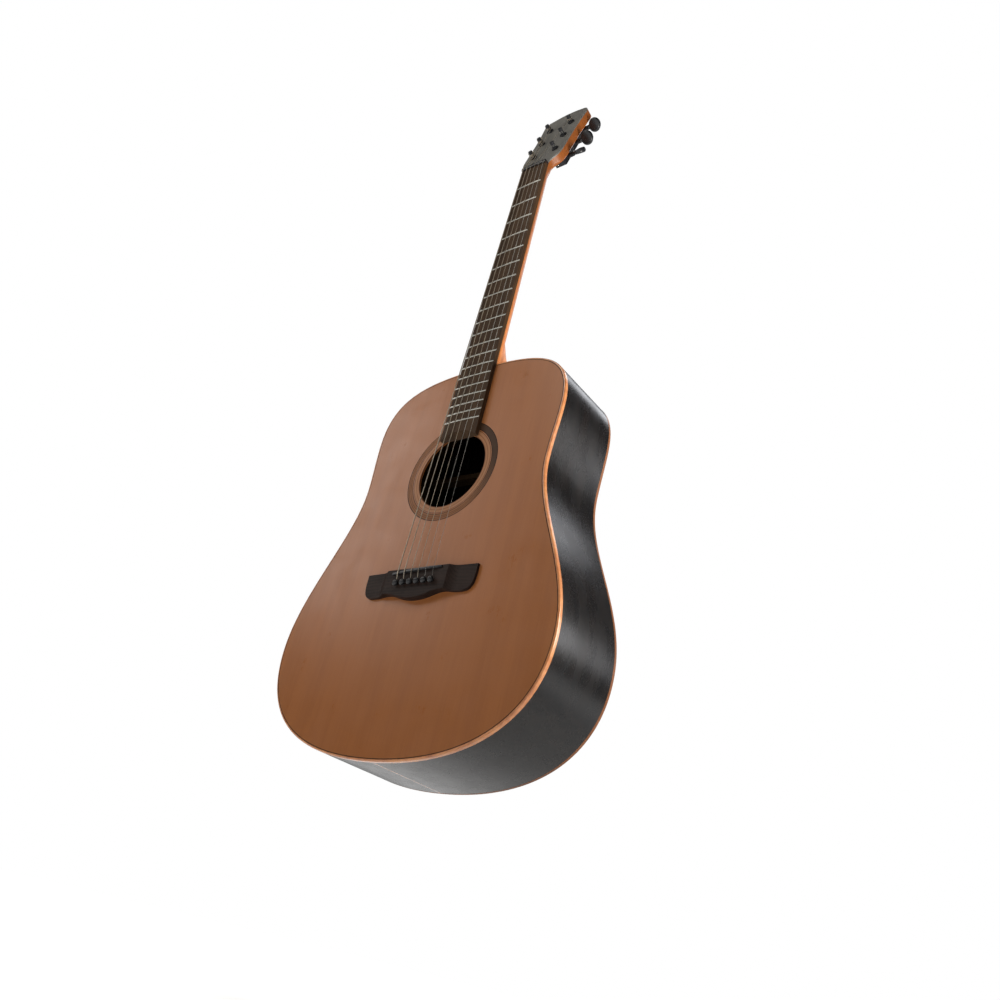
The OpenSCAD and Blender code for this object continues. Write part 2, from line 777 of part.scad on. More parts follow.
module tuner_housings() color(gunmetal) for (i = [1 : 6]) at_post(i) difference() {
    union() {
        translate([-case_x, head_t, case_low]) cube([2 * case_x, case_y - head_t, case_high - case_low]);
        along_out(case_x - 0.1, worm_y, worm_s) cylinder(r = 3.4, h = 7);
        translate([-tab_w / 2, head_t, screw_s - tab_w / 2])
            cube([tab_w, 2, case_low + 1 - screw_s + tab_w / 2]);
    }
    along_front(case_y - wall) cylinder(r = gear_r + 0.6, h = case_y - head_t - 2 * wall);
    along_front(case_y) translate([0, 0, wall]) cylinder(r = post_r + fit, h = 30);
    along_out(-case_x + wall, worm_y, worm_s) cylinder(r = worm_r + 0.5, h = 2 * case_x - 2 * wall);
    along_out(-case_x + wall, worm_y, worm_s) cylinder(r = shaft_r + fit, h = 40);
    along_front(case_y) translate([0, screw_s, 0]) cylinder(r = screw_r, h = 20);
}

module tuner_bushings() color(gunmetal) on_head() at_posts() difference() {
    union() {
        along_front(-veneer_t) cylinder(r = 5.4, h = 1.8);
        along_front(-veneer_t + 8) cylinder(r = bushing_hole_r, h = 8.1);
    }
    along_front(20) cylinder(r = post_r + fit, h = 40);
}

module tuner_screws() color(steel) for (i = [1 : 6]) at_post(i)
    along_front(head_t + 3.2) translate([0, screw_s, 0]) difference() {
        union() {
            cylinder(r = 2.3, h = 1.2);
            cylinder(r = screw_r, h = 10);
        }
        translate([-0.3, -3, -1]) cube([0.6, 6, 1.5]);
    }

// ---- placement ----------------------------------------------------------------------
soundboard();
back_plate();
side_bass();
side_treble();
binding_top();
binding_back();
purfling_top();
lining_top();
lining_back();
neck_block();
end_block();
end_graft();
x_braces();
tone_bars();
upper_brace();
bridge_plate();
back_braces();
back_seam_strip();
rosette_outer();
rosette_inner();
neck();
heel_cap();
headstock_veneer();
fingerboard();
frets();
side_dots();
nut();
truss_rod();
truss_rod_nut();
neck_bolts();
bridge();
saddle();
tuner_housings();
tuner_bushings();
tuner_screws();
for (i = [1 : 6]) bridge_pin(i);
for (i = [1 : 6]) string(i);
for (i = [1 : 6]) tuner_button(i);
for (i = [1 : 6]) tuner_post(i);
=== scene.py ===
from math import atan, cos, pi, radians, sin, sqrt, tan

import bmesh
import bpy
from mathutils import Matrix, Vector
from mathutils.geometry import tessellate_polygon


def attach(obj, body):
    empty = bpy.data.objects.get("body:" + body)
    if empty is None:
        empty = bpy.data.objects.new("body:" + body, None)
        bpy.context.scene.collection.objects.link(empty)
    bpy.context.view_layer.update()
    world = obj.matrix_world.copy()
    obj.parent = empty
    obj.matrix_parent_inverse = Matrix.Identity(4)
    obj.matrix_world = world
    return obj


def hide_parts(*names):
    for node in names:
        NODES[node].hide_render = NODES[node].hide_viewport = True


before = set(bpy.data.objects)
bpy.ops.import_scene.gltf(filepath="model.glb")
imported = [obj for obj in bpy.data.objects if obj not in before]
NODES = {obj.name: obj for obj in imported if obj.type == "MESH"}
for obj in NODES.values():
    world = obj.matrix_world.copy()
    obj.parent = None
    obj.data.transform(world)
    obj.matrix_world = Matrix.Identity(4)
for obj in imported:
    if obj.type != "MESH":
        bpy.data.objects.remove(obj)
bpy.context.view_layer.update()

MM = 0.001

# ---- sizes, the same as the CAD's ----------------------------------------------------------
BODY_LEN, TAIL_DEPTH, NECK_DEPTH, ARCH_R = 503, 119.5, 102.5, 4600
LOWER, WAIST, UPPER = Vector((202.5, 135)), Vector((142, 340)), Vector((147, 418))
BIND_W, BIND_D, PURF_W, INLAY = 2.3, 5, 1, 1.3
EDGE_R = 1.7            # rounding of the bindings' outer corners
SIDE_STEP = 0.06        # how far the lacquered sides lie under the bindings
TOP_T, BACK_T = 2.8, 2.6
HOLE_R, HOLE_Z, INNER_RING_R, OUTER_RING_R, ROSETTE_R = 50, 349.5, 58.5, 59.5, 68.6
GRAIN_R = 60            # the radius at which the rosette's grain has its real length
GRAFT_W = 1.6
SCALE_LEN, NUT_W, JOINT_W, BOARD_T, BOARD_R = 650, 42, 53.5, 7, 400
NUT_Z = BODY_LEN + SCALE_LEN * (1 - 2 ** (-14 / 12))
HEAD_Z = NUT_Z + 5
BOARD_END_R = HOLE_R + 2
HEAD_TILT = radians(13)
HEAD_T, VENEER_T = 13, 2
HEEL_DEPTH = NECK_DEPTH - 3
BRIDGE_FRONT, BRIDGE_BACK, BELLY_Z, BRIDGE_L, BRIDGE_H, WING_H = 216, 179, 186.5, 167, 9, 4
POST_X, POST_S, POST_STEP = 19.5, 38, 40
WORM_S, WORM_Y, BUTTON_X = 7.5, HEAD_T + 5.2, 18.5
BUTTON_L, BUTTON_W, BUTTON_T = 19, 21, 8
BUTTON_TURNS = (25, 65, 140, 58, 62, 158)


# ---- mesh helpers --------------------------------------------------------------------------
def clean(obj, sharp):
    """Smooth shading that stays flat on flat faces, with edges over an angle kept sharp."""
    for p in obj.data.polygons:
        p.use_smooth = True
    obj.data.set_sharp_from_angle(angle=radians(sharp))
    w = obj.modifiers.new("normals", "WEIGHTED_NORMAL")
    w.keep_sharp = True
    w.weight = 80


def mesh(name, parts, sharp=35):
    """One object from closed shells, each given as (points, faces)."""
    bm = bmesh.new()
    for points, faces in parts:
        vs = [bm.verts.new(Vector(p) * MM) for p in points]
        for f in faces:
            if len(set(f)) > 2:
                bm.faces.new([vs[i] for i in dict.fromkeys(f)])
    bmesh.ops.remove_doubles(bm, verts=bm.verts, dist=1e-7)
    bmesh.ops.recalc_face_normals(bm, faces=bm.faces)
    me = bpy.data.meshes.new(name)
    bm.to_mesh(me)
    bm.free()
    obj = bpy.data.objects.new(name, me)
    bpy.context.scene.collection.objects.link(obj)
    if sharp:
        clean(obj, sharp)
    return obj


def loft(rings, closed_path=False, caps=True):
    """A skin through rings that have the same number of points each."""
    n, m = len(rings), len(rings[0])
    points = [p for ring in rings for p in ring]
    faces = []
    for i in range(n if closed_path else n - 1):
        a, b = i * m, (i + 1) % n * m
        faces += [(a + k, a + (k + 1) % m, b + (k + 1) % m, b + k) for k in range(m)]
    if caps and not closed_path:
        faces += [tuple(range(m)), tuple(range((n - 1) * m, n * m))]
    return points, faces


def revolve(profile, steps):
    """A solid of revolution about Z from (radius, height) pairs."""
    rings = [[(r * cos(a), r * sin(a), h) for a in turn(steps)] for r, h in profile]
    return loft(rings)


def turn(steps):
    """Angles in equal steps round a circle."""
    return [2 * pi * k / steps for k in range(steps)]


def placed(part, matrix):
    """A shell's points moved by a matrix."""
    points, faces = part
    return [matrix @ Vector(p) for p in points], faces


def arc(cx, cy, r, a0, a1, steps):
    """Points on an arc, both ends included, angles in degrees."""
    angles = [radians(a0 + (a1 - a0) * k / steps) for k in range(steps + 1)]
    return [(cx + r * cos(a), cy + r * sin(a)) for a in angles]


def finish_piece(obj, material, body, stands_for):
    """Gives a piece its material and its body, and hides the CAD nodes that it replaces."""
    obj.data.materials.clear()
    obj.data.materials.append(material)
    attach(obj, body)
    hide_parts(*stands_for)


def union(name, objs):
    """One closed mesh from several overlapping ones."""
    first = objs[0]
    for o in objs[1:]:
        b = first.modifiers.new("join", "BOOLEAN")
        b.operation, b.solver, b.object = "UNION", "EXACT", o
    dg = bpy.context.evaluated_depsgraph_get()
    me = bpy.data.meshes.new_from_object(first.evaluated_get(dg))
    for o in objs:
        bpy.data.objects.remove(o)
    me.name = name
    obj = bpy.data.objects.new(name, me)
    bpy.context.scene.collection.objects.link(obj)
    return obj


# ---- node materials ------------------------------------------------------------------------
class Shader:
    """A principled material whose values are built up from nodes, with coordinates in mm."""

    def __init__(self, name):
        self.mat = bpy.data.materials.new(name)
        self.mat.use_nodes = True
        self.tree = self.mat.node_tree
        self.tree.nodes.clear()
        self.out = self.tree.nodes.new("ShaderNodeOutputMaterial")
        self.bsdf = self.tree.nodes.new("ShaderNodeBsdfPrincipled")
        self.tree.links.new(self.bsdf.outputs[0], self.out.inputs[0])
        metres = self.node("ShaderNodeTexCoord").outputs["Object"]
        self.coords = self.vector("MULTIPLY", metres, (1 / MM,) * 3)
        self.bumps = None

    def node(self, kind, inputs=None, **settings):
        n = self.tree.nodes.new(kind)
        for key, value in settings.items():
            setattr(n, key, value)
        for key, value in (inputs or {}).items():
            self.put(n.inputs[key], value)
        return n

    def put(self, socket, value):
        if isinstance(value, bpy.types.NodeSocket):
            self.tree.links.new(value, socket)
        elif socket.type == "RGBA" and len(value) == 3:
            socket.default_value = (*value, 1)
        else:
            socket.default_value = value

    def vector(self, operation, a, b):
        return self.node("ShaderNodeVectorMath", {0: a, 1: b}, operation=operation).outputs[0]

    def math(self, operation, a, b=0.0, clamp=False):
        inputs = {0: a, 1: b}
        return self.node("ShaderNodeMath", inputs, operation=operation, use_clamp=clamp).outputs[0]

    def split(self):
        return self.node("ShaderNodeSeparateXYZ", {0: self.coords}).outputs

    def noise(self, scale, detail=3.0, rough=0.5, where=None):
        """Noise with a size in mm along each axis."""
        sizes = scale if isinstance(scale, tuple) else (scale,) * 3
        v = self.vector("DIVIDE", where or self.coords, sizes)
        kind = {"Vector": v, "Scale": 1.0, "Detail": detail, "Roughness": rough}
        return self.node("ShaderNodeTexNoise", kind).outputs[0]

    def ramp(self, value, low, high, out_low=0.0, out_high=1.0):
        inputs = {"Value": value, "From Min": low, "From Max": high}
        inputs.update({"To Min": out_low, "To Max": out_high})
        return self.node("ShaderNodeMapRange", inputs, clamp=True).outputs[0]

    def mix(self, factor, a, b, blend="MIX"):
        n = self.node("ShaderNodeMix", data_type="RGBA", blend_type=blend)
        self.put(n.inputs[0], factor)
        self.put(n.inputs[6], a)
        self.put(n.inputs[7], b)
        return n.outputs[2]

    def bump(self, height, depth):
        """Adds relief of a depth in mm."""
        inputs = {"Height": height, "Distance": depth * MM, "Strength": 1.0}
        if self.bumps:
            inputs["Normal"] = self.bumps
        self.bumps = self.node("ShaderNodeBump", inputs).outputs[0]

    def edges(self, radius):
        """1 on convex edges tighter than a radius in mm, 0 on flat ground."""
        soft = self.node("ShaderNodeBevel", {"Radius": radius * MM}, samples=6).outputs[0]
        plain = self.node("ShaderNodeNewGeometry").outputs["Normal"]
        dot = self.node("ShaderNodeVectorMath", {0: soft, 1: plain}, operation="DOT_PRODUCT")
        return self.ramp(self.math("SUBTRACT", 1.0, dot.outputs["Value"]), 0.02, 0.25)

    def grey(self, value):
        """A colour with the same value in each channel."""
        return self.node("ShaderNodeCombineXYZ", {0: value, 1: value, 2: value}).outputs[0]

    def length_from(self, place):
        """Distance in mm from a place."""
        away = self.node("ShaderNodeVectorMath", {0: self.coords, 1: place}, operation="DISTANCE")
        return away.outputs["Value"]

    def done(self, color, rough, **values):
        self.put(self.bsdf.inputs["Base Color"], color)
        self.put(self.bsdf.inputs["Roughness"], rough)
        for key, value in values.items():
            self.put(self.bsdf.inputs[key.replace("_", " ")], value)
        if self.bumps:
            self.put(self.bsdf.inputs["Normal"], self.bumps)
        return self.mat


def wood(name, light, dark, grain, line=1.3, strength=0.5, pores=0.0, rough=0.45, streaks=0.25,
         shine=0.5, coat=0.0, coat_rough=0.25, mirrored=False, wear=None, figure=0.0, depth=0.015,
         painted_shade_span=None):
    """Wood whose grain runs along an axis: growth lines, broad streaks, pores and a satin finish.

    line is the growth lines' spacing in mm, and the last argument the stretch along the grain over
    which painted shade darkens the wood."""
    s = Shader(name)
    x, y, z = s.split()
    across = [x, y, z]
    along = across.pop("XYZ".index(grain))
    if mirrored:
        across[0] = s.math("ABSOLUTE", across[0])
    where = s.node("ShaderNodeCombineXYZ", {0: across[0], 1: across[1], 2: along}).outputs[0]
    warp = s.noise((40, 40, 300), 2, 0.5, where)
    deep = s.math("MULTIPLY", across[1], 2 * pi / (line * 1.7))
    bent = s.math("ADD", deep, s.math("MULTIPLY", warp, 22))
    lines = s.math("ADD", s.math("MULTIPLY", across[0], 2 * pi / line), bent)
    rings = s.math("MULTIPLY", s.math("ADD", s.math("SINE", lines), 1.0), 0.5)
    fine = s.noise((line * 0.35, line * 0.35, line * 30), 3, 0.6, where)
    broad = s.noise((14, 14, 260), 3, 0.55, where)
    cloud = s.noise((60, 60, 120), 2, 0.5, where)
    tone = s.math("ADD", s.math("MULTIPLY", rings, 0.35), s.math("MULTIPLY", fine, 0.65))
    fine_part = s.ramp(tone, 0.25, 0.75, 0, strength)
    broad_part = s.ramp(broad, 0.35, 0.65, -streaks, streaks)
    cloud_part = s.ramp(cloud, 0.3, 0.7, -streaks / 2, streaks / 2)
    amount = s.math("ADD", s.math("ADD", fine_part, broad_part), cloud_part, clamp=True)
    color = s.mix(amount, light, dark)
    if figure:
        shimmer = s.noise((30, 30, 7), 2, 0.5, where)
        color = s.mix(s.ramp(shimmer, 0.35, 0.65, 0, figure), color, (1, 1, 1), "SOFT_LIGHT")
    # Painted shade: the wood darkens along the grain over the given stretch, where less light
    # falls.
    if painted_shade_span:
        painted_shade_color = tuple(c * 0.75 for c in dark)
        color = s.mix(s.ramp(along, painted_shade_span[0], painted_shade_span[1], 0, 0.8), color, painted_shade_color)
    if pores:
        specks = s.ramp(s.noise((0.45, 0.45, 9), 2, 0.5, where), 0.60, 0.68)
        color = s.mix(s.math("MULTIPLY", specks, pores), color, tuple(c * 0.35 for c in dark))
        s.bump(s.math("SUBTRACT", 1.0, specks), 0.04 * pores)
    if wear:
        edge = s.math("MULTIPLY", s.edges(1.0), s.ramp(s.noise(9, 3), 0.4, 0.7))
        color = s.mix(edge, color, wear)
    s.bump(fine, depth)
    polish = s.math("ADD", s.noise(35, 3), s.math("MULTIPLY", fine, 0.4))
    roughness = s.ramp(polish, 0.4, 1.0, rough - 0.06, rough + 0.08)
    return s.done(color, roughness, Specular_IOR_Level=shine, Coat_Weight=coat,
                  Coat_Roughness=coat_rough)


def black_lacquer():
    """Satin black lacquer over wood: open pores along the grain and a slow waviness."""
    s = Shader("black_lacquer")
    pores = s.ramp(s.noise((0.7, 0.7, 16), 3, 0.55), 0.56, 0.68)
    streak = s.noise((5, 12, 150), 3, 0.6)
    color = s.mix(s.ramp(streak, 0.35, 0.7), (0.0032, 0.0029, 0.0031), (0.0080, 0.0058, 0.0050))
    s.bump(s.noise(55, 1, 0.4), 0.55)
    s.bump(s.math("SUBTRACT", 1.0, pores), 0.0015)
    s.bump(s.noise((2.5, 2.5, 30), 2), 0.002)
    rough = s.ramp(s.noise((20, 20, 60), 3, 0.5), 0.3, 0.7, 0.24, 0.30)
    rough = s.math("ADD", rough, s.math("MULTIPLY", pores, 0.03))
    return s.done(color, rough)


def metal(name, color, rough, scratch=(0.15, 0.15, 4), wear=None, metallic=1.0, grain=0.06):
    """Metal with fine scratches, uneven polish and, on a painted one, worn edges."""
    s = Shader(name)
    marks = s.noise(scratch, 3, 0.6)
    patch = s.noise(7, 3, 0.6)
    tint = s.ramp(patch, 0.3, 0.7, 0.82, 1.08)
    base = s.mix(1.0, color, s.grey(tint), "MULTIPLY")
    if wear:
        rubbed = s.math("MULTIPLY", s.edges(0.5), s.ramp(s.noise(3, 3), 0.42, 0.7, 0, 0.8))
        base = s.mix(rubbed, base, wear)
    s.bump(marks, 0.006)
    polish = s.math("ADD", s.math("MULTIPLY", marks, 0.5), s.math("MULTIPLY", patch, 0.5))
    roughness = s.ramp(polish, 0.3, 0.7, rough - grain, rough + grain)
    return s.done(base, roughness, Metallic=metallic)


def wound(name, color, pitch):
    """A string wound with fine wire: ridges around it at a pitch in mm, with painted shade in the
    grooves between them.
    """
    s = Shader(name)
    ridge = s.math("SINE", s.math("MULTIPLY", s.split()[2], 2 * pi / pitch))
    height = s.math("MULTIPLY", s.math("ADD", ridge, 1.0), 0.5)
    # Painted shade: the grooves between the windings are darkened.
    base = s.mix(height, tuple(c * 0.35 for c in color), color)
    base = s.mix(s.ramp(s.noise((3, 3, 40), 3), 0.35, 0.7, 0, 0.45), base, (0.30, 0.23, 0.15))
    s.bump(height, 0.06)
    return s.done(base, s.ramp(s.noise(5, 2), 0.3, 0.7, 0.28, 0.4), Metallic=0.6)


def plastic(name, color, rough, wear):
    """Moulded or cast black: faint orange peel, fine scratches, lighter worn edges."""
    s = Shader(name)
    base = s.mix(s.ramp(s.noise(12, 3), 0.35, 0.7), color, tuple(c * 1.6 for c in color))
    rubbed = s.math("MULTIPLY", s.edges(0.6), s.ramp(s.noise(2.5, 3), 0.38, 0.7, 0.15, 0.8))
    base = s.mix(rubbed, base, wear)
    s.bump(s.noise(0.9, 2), 0.01)
    s.bump(s.noise((0.12, 3, 0.12), 2), 0.003)
    return s.done(base, s.ramp(s.noise(6, 3), 0.3, 0.7, rough - 0.07, rough + 0.09))


def pearl():
    s = Shader("pearl")
    base = s.mix(s.noise(0.8, 3), (0.75, 0.72, 0.62), (0.55, 0.62, 0.60))
    s.bump(s.noise(0.5, 2), 0.01)
    return s.done(base, s.ramp(s.noise(1.5, 2), 0.3, 0.7, 0.15, 0.25), Coat_Weight=0.5)


def banded(name, base_a, base_b, bands, painted_shade):
    """Rosette wood: grain that turns with the ring, painted shade that darkens it towards +X and
    upwards, with thin lines.

    bands lists each line's radius, width and colour; the last argument is the colour of the painted
    shade."""
    s = Shader(name)
    x, y, z = s.split()
    dz = s.math("SUBTRACT", z, HOLE_Z)
    r = s.math("SQRT", s.math("ADD", s.math("MULTIPLY", x, x), s.math("MULTIPLY", dz, dz)))
    angle = s.math("ARCTAN2", x, dz)
    round_arc = s.math("MULTIPLY", angle, GRAIN_R)
    where = s.node("ShaderNodeCombineXYZ", {0: round_arc, 1: r, 2: y}).outputs[0]
    figure = s.noise((14, 1.6, 4), 4, 0.6, where)
    fine = s.noise((5, 0.35, 4), 3, 0.6, where)
    tone = s.math("ADD", figure, s.math("MULTIPLY", fine, 0.6))
    color = s.mix(s.ramp(tone, 0.55, 1.05), base_a, base_b)
    # Painted shade: the ring is mixed towards a darker colour on the +X side and upwards.
    side = s.math("ADD", s.math("MULTIPLY", x, 0.8), s.math("MULTIPLY", dz, 0.6))
    color = s.mix(s.ramp(side, -5, 55, 0, 0.92), color, painted_shade)
    for at, width, dark in bands:
        off = s.math("ABSOLUTE", s.math("SUBTRACT", r, at))
        color = s.mix(s.ramp(off, width / 2, width / 2 + 0.15, 1, 0), color, dark)
    s.bump(fine, 0.01)
    return s.done(color, s.ramp(s.noise(10, 3), 0.3, 0.7, 0.4, 0.5), Specular_IOR_Level=0.1)


INK, SOFT_INK = (0.016, 0.008, 0.005), (0.055, 0.028, 0.016)
PALE_LINES = [(50.3, 0.7, (0.16, 0.07, 0.035)), (54.0, 0.45, (0.17, 0.075, 0.035)),
              (55.8, 0.4, (0.36, 0.19, 0.10)), (58.2, 0.7, (0.09, 0.042, 0.022))]
DARK_LINES = [(59.9, 0.7, INK), (63.2, 0.35, SOFT_INK), (65.4, 0.35, SOFT_INK), (68.1, 1.0, INK)]

MAT = {
    "cedar_top": wood("cedar_top", (0.375, 0.135, 0.040), (0.215, 0.072, 0.020), "Z", 1.35, 0.45,
                      rough=0.31, streaks=0.09, shine=0.4, mirrored=True),
    "black_wood": black_lacquer(),
    "copper_wood": wood("copper_wood", (0.62, 0.235, 0.082), (0.33, 0.10, 0.035), "Z", 1.1, 0.6,
                        0.3, rough=0.3, streaks=0.3, coat=0.6, coat_rough=0.12, figure=0.5),
    # Painted shade: a darker copy of copper_wood for the rear binding, which is the same wood but
    # lies in shade.
    "shaded_rear_binding": wood("shaded_rear_binding", (0.24, 0.095, 0.040), (0.13, 0.048, 0.020), "Z", 1.1, 0.6,
                         0.3, rough=0.4, streaks=0.3, shine=0.2),
    "rosewood": wood("rosewood", (0.079, 0.045, 0.023), (0.028, 0.015, 0.008), "Z", 2.4, 0.7, 0.7,
                     rough=0.5, streaks=0.35, shine=0.08, wear=(0.11, 0.085, 0.07), depth=0.03),
    "bridge_wood": wood("bridge_wood", (0.030, 0.018, 0.014), (0.011, 0.0065, 0.005), "X", 2.2, 0.7,
                        0.7, rough=0.5, streaks=0.35, shine=0.12, wear=(0.085, 0.055, 0.042),
                        depth=0.03),
    # Painted shade: the braces' spruce is darkened to the near black of the shaded soundbox.
    "spruce": wood("spruce", (0.075, 0.045, 0.022), (0.045, 0.026, 0.013), "Z", 1.8, 0.5,
                   rough=0.6, streaks=0.2, shine=0.1),
    # Painted shade darkens the mahogany from 540 mm up to 860 mm, towards the headstock.
    "mahogany": wood("mahogany", (0.62, 0.195, 0.042), (0.34, 0.095, 0.022), "Z", 2.6, 0.55, 0.55,
                     rough=0.35, streaks=0.28, shine=0.3, figure=0.3, painted_shade_span=(540, 860)),
    "grey_veneer": wood("grey_veneer", (0.178, 0.172, 0.154), (0.096, 0.091, 0.081), "Z", 1.6, 0.6,
                        0.5, rough=0.40, streaks=0.3, wear=(0.2, 0.17, 0.15)),
    # Each ring's last colour is its painted shade towards +X and upwards.
    "pale_ring": banded("pale_ring", (0.41, 0.200, 0.105), (0.31, 0.145, 0.073), PALE_LINES,
                        (0.34, 0.155, 0.070)),
    "ring_wood": banded("ring_wood", (0.300, 0.130, 0.056), (0.205, 0.086, 0.037), DARK_LINES,
                        (0.042, 0.022, 0.012)),
    "steel": metal("steel", (0.46, 0.45, 0.40), 0.26),
    "plain_steel": metal("plain_steel", (0.50, 0.49, 0.45), 0.42, (2, 0.1, 0.1), metallic=0.7),
    "brass": metal("brass", (0.72, 0.50, 0.20), 0.3),
    "bronze_wound": wound("bronze_wound", (0.72, 0.63, 0.50), 0.42),
    "black_metal": metal("black_metal", (0.022, 0.022, 0.025), 0.34, wear=(0.16, 0.155, 0.15),
                         metallic=0.35, grain=0.1),
    "black_plastic": plastic("black_plastic", (0.011, 0.011, 0.012), 0.33, (0.07, 0.068, 0.065)),
    "pearl": pearl(),
}


# ---- body ----------------------------------------------------------------------------------
SPAN = 40               # stretches in each of the four curves of a half outline


def bezier(a, b, c, d, n):
    """Points on a cubic curve, its end left out."""
    return [
        (1 - t) ** 3 * a + 3 * (1 - t) ** 2 * t * b + 3 * (1 - t) * t * t * c + t**3 * d
        for t in (i / n for i in range(n))
    ]


def up(v):
    return Vector((0, v))


HALF = (
    bezier(Vector((0, 0)), Vector((137, 0)), LOWER - up(83.5), LOWER, SPAN)
    + bezier(LOWER, LOWER + up(72), WAIST - up(64), WAIST, SPAN)
    + bezier(WAIST, WAIST + up(24), UPPER - up(24), UPPER, SPAN)
    + bezier(UPPER, UPPER + up(70), Vector((96, BODY_LEN)), Vector((0, BODY_LEN)), SPAN)
    + [Vector((0, BODY_LEN))]
)
LOOP = HALF + [Vector((-p.x, p.y)) for p in reversed(HALF) if p.x > 1e-6]


def inward(points, closed=True):
    """Unit normals that point into the body, for points that run anticlockwise."""
    n = len(points)
    out = []
    for i in range(n):
        a = points[i - 1] if closed or i else points[0]
        b = points[(i + 1) % n] if closed or i < n - 1 else points[-1]
        t = (b - a).normalized()
        out.append(Vector((-t.y, t.x)))
    return out


BACK_TILT = atan((TAIL_DEPTH - NECK_DEPTH) / BODY_LEN)


def back_y(x, z, depth=0.0):
    """Depth of the arched back, or of a layer inside it, at a place on the body."""
    drop = sqrt((ARCH_R - depth) ** 2 - x * x) - ARCH_R
    return TAIL_DEPTH - z * tan(BACK_TILT) + drop / cos(BACK_TILT)


def rim(profile, points, normals, closed=True):
    """Sweeps a profile round the outline: pairs of the distance in and Y, a number or function."""
    rings = []
    for p, n in zip(points, normals):
        ring = []
        for d, y in profile:
            q = p + n * d
            ring.append((q.x, y(q.x, q.y) if callable(y) else y, q.y))
        rings.append(ring)
    return loft(rings, closed)


LOOP_IN = inward(LOOP)


def from_back(depth):
    """Y as a function of the place, at a depth under the back's outer face."""
    return lambda x, z: back_y(x, z, depth)


def rounded(r, far, depth, flip=None):
    """A binding's section with its outer corner rounded."""
    corner = arc(r, r, r, 180, 270, 6)
    ease = 0.15
    pts = [(0, depth)] + corner + [(far - ease, 0), (far, ease), (far, depth)]
    return [(d, flip(y)) for d, y in pts] if flip else pts


binding = mesh("binding_front", [rim(rounded(EDGE_R, BIND_W, BIND_D), LOOP, LOOP_IN)])
finish_piece(binding, MAT["copper_wood"], "guitar", ["binding_top"])
binding = mesh("binding_rear", [rim(rounded(EDGE_R, BIND_W, BIND_D, from_back), LOOP, LOOP_IN)])
finish_piece(binding, MAT["shaded_rear_binding"], "guitar", ["binding_back"])

groove = [(BIND_W, 0), (BIND_W + PURF_W, 0), (BIND_W + PURF_W, INLAY), (BIND_W, INLAY)]
purfling = mesh("purfling_line", [rim(groove, LOOP, LOOP_IN)])
finish_piece(purfling, MAT["rosewood"], "guitar", ["purfling_top"])


def side_part(points):
    """A side's wall, a hair under the bindings' faces, from the front binding to the back one."""
    rear = from_back(BIND_D)
    profile = [(SIDE_STEP, BIND_D), (SIDE_STEP, rear), (BIND_W, rear), (BIND_W, BIND_D)]
    return rim(profile, points, inward(points, False), False)


treble_edge = [Vector((GRAFT_W / 2, 0))] + [p for p in HALF if p.x > GRAFT_W / 2]
treble_edge.append(Vector((0, BODY_LEN)))
bass_edge = [Vector((-p.x, p.y)) for p in reversed(treble_edge)]
for name, edge in (("side_treble", treble_edge), ("side_bass", bass_edge)):
    shell = mesh(name + "_shell", [side_part(edge)])
    finish_piece(shell, MAT["black_wood"], "guitar", [name])
graft_edge = [Vector((-GRAFT_W / 2, 0)), Vector((0, 0)), Vector((GRAFT_W / 2, 0))]
graft = mesh("tail_graft", [side_part(graft_edge)])
finish_piece(graft, MAT["copper_wood"], "guitar", ["end_graft"])


def layered_plate(loop, layers, centre, shrink):
    """A closed plate: loops that shrink to a centre on two faces given as Y functions."""
    rings = []
    for y in layers:
        face = [[centre + (p - centre) * f for p in loop] for f in shrink]
        rings.append([[(q.x, y(q.x, q.y), q.y) for q in ring] for ring in face])
    return loft(rings[0][::-1] + rings[1], False)


BACK_CENTRE = Vector((0, 240))
SHRINK = [1, 0.96, 0.9, 0.8, 0.7, 0.6, 0.5, 0.4, 0.3, 0.2, 0.1, 0.02]
back_loop = [p + n * BIND_W for p, n in zip(LOOP, LOOP_IN)]
faces = from_back(0), from_back(BACK_T)
back = mesh("back_panel", [layered_plate(back_loop, faces, BACK_CENTRE, SHRINK)])
finish_piece(back, MAT["black_wood"], "guitar", ["back_plate"])


HOLE_STEPS = 180


def circle(r, y):
    """A circle round the soundhole's centre, at a depth."""
    return [(r * sin(a), y, HOLE_Z + r * cos(a)) for a in turn(HOLE_STEPS)]


def flat_ring(outer, inner):
    """Triangles between two loops, as faces over outer + inner."""
    flat = [[Vector((p[0], p[2], 0)) for p in loop] for loop in (outer, inner)]
    return tessellate_polygon(flat)


def edge_loop(d, y):
    """The body's outline moved in by a distance, at a depth."""
    return [(p.x + n.x * d, y, p.y + n.y * d) for p, n in zip(LOOP, LOOP_IN)]


def soundboard_part():
    """The top with its hole, the rosette's channels and the ledge for the purfling."""
    ledge = BIND_W + PURF_W
    steps = (ledge, 0), (ledge, INLAY), (BIND_W, INLAY), (BIND_W, TOP_T)
    outer = [edge_loop(*v) for v in steps]
    inner = [circle(*v) for v in (
        (ROSETTE_R, 0), (ROSETTE_R, INLAY), (OUTER_RING_R, INLAY), (OUTER_RING_R, 0),
        (INNER_RING_R, 0), (INNER_RING_R, INLAY), (HOLE_R, INLAY), (HOLE_R, TOP_T))]
    points, faces = [], []
    for group in (outer, inner):
        base = len(points)
        part = loft(group, caps=False)
        points += part[0]
        faces += [tuple(base + k for k in f) for f in part[1]]
    n, m = len(LOOP), HOLE_STEPS
    hole = len(outer) * n
    front, rear = (0, hole), ((len(outer) - 1) * n, hole + (len(inner) - 1) * m)
    for a, b in (front, rear):
        tris = flat_ring(points[a:a + n], points[b:b + m])
        faces += [tuple(a + k if k < n else b + k - n for k in t) for t in tris]
    return points, faces


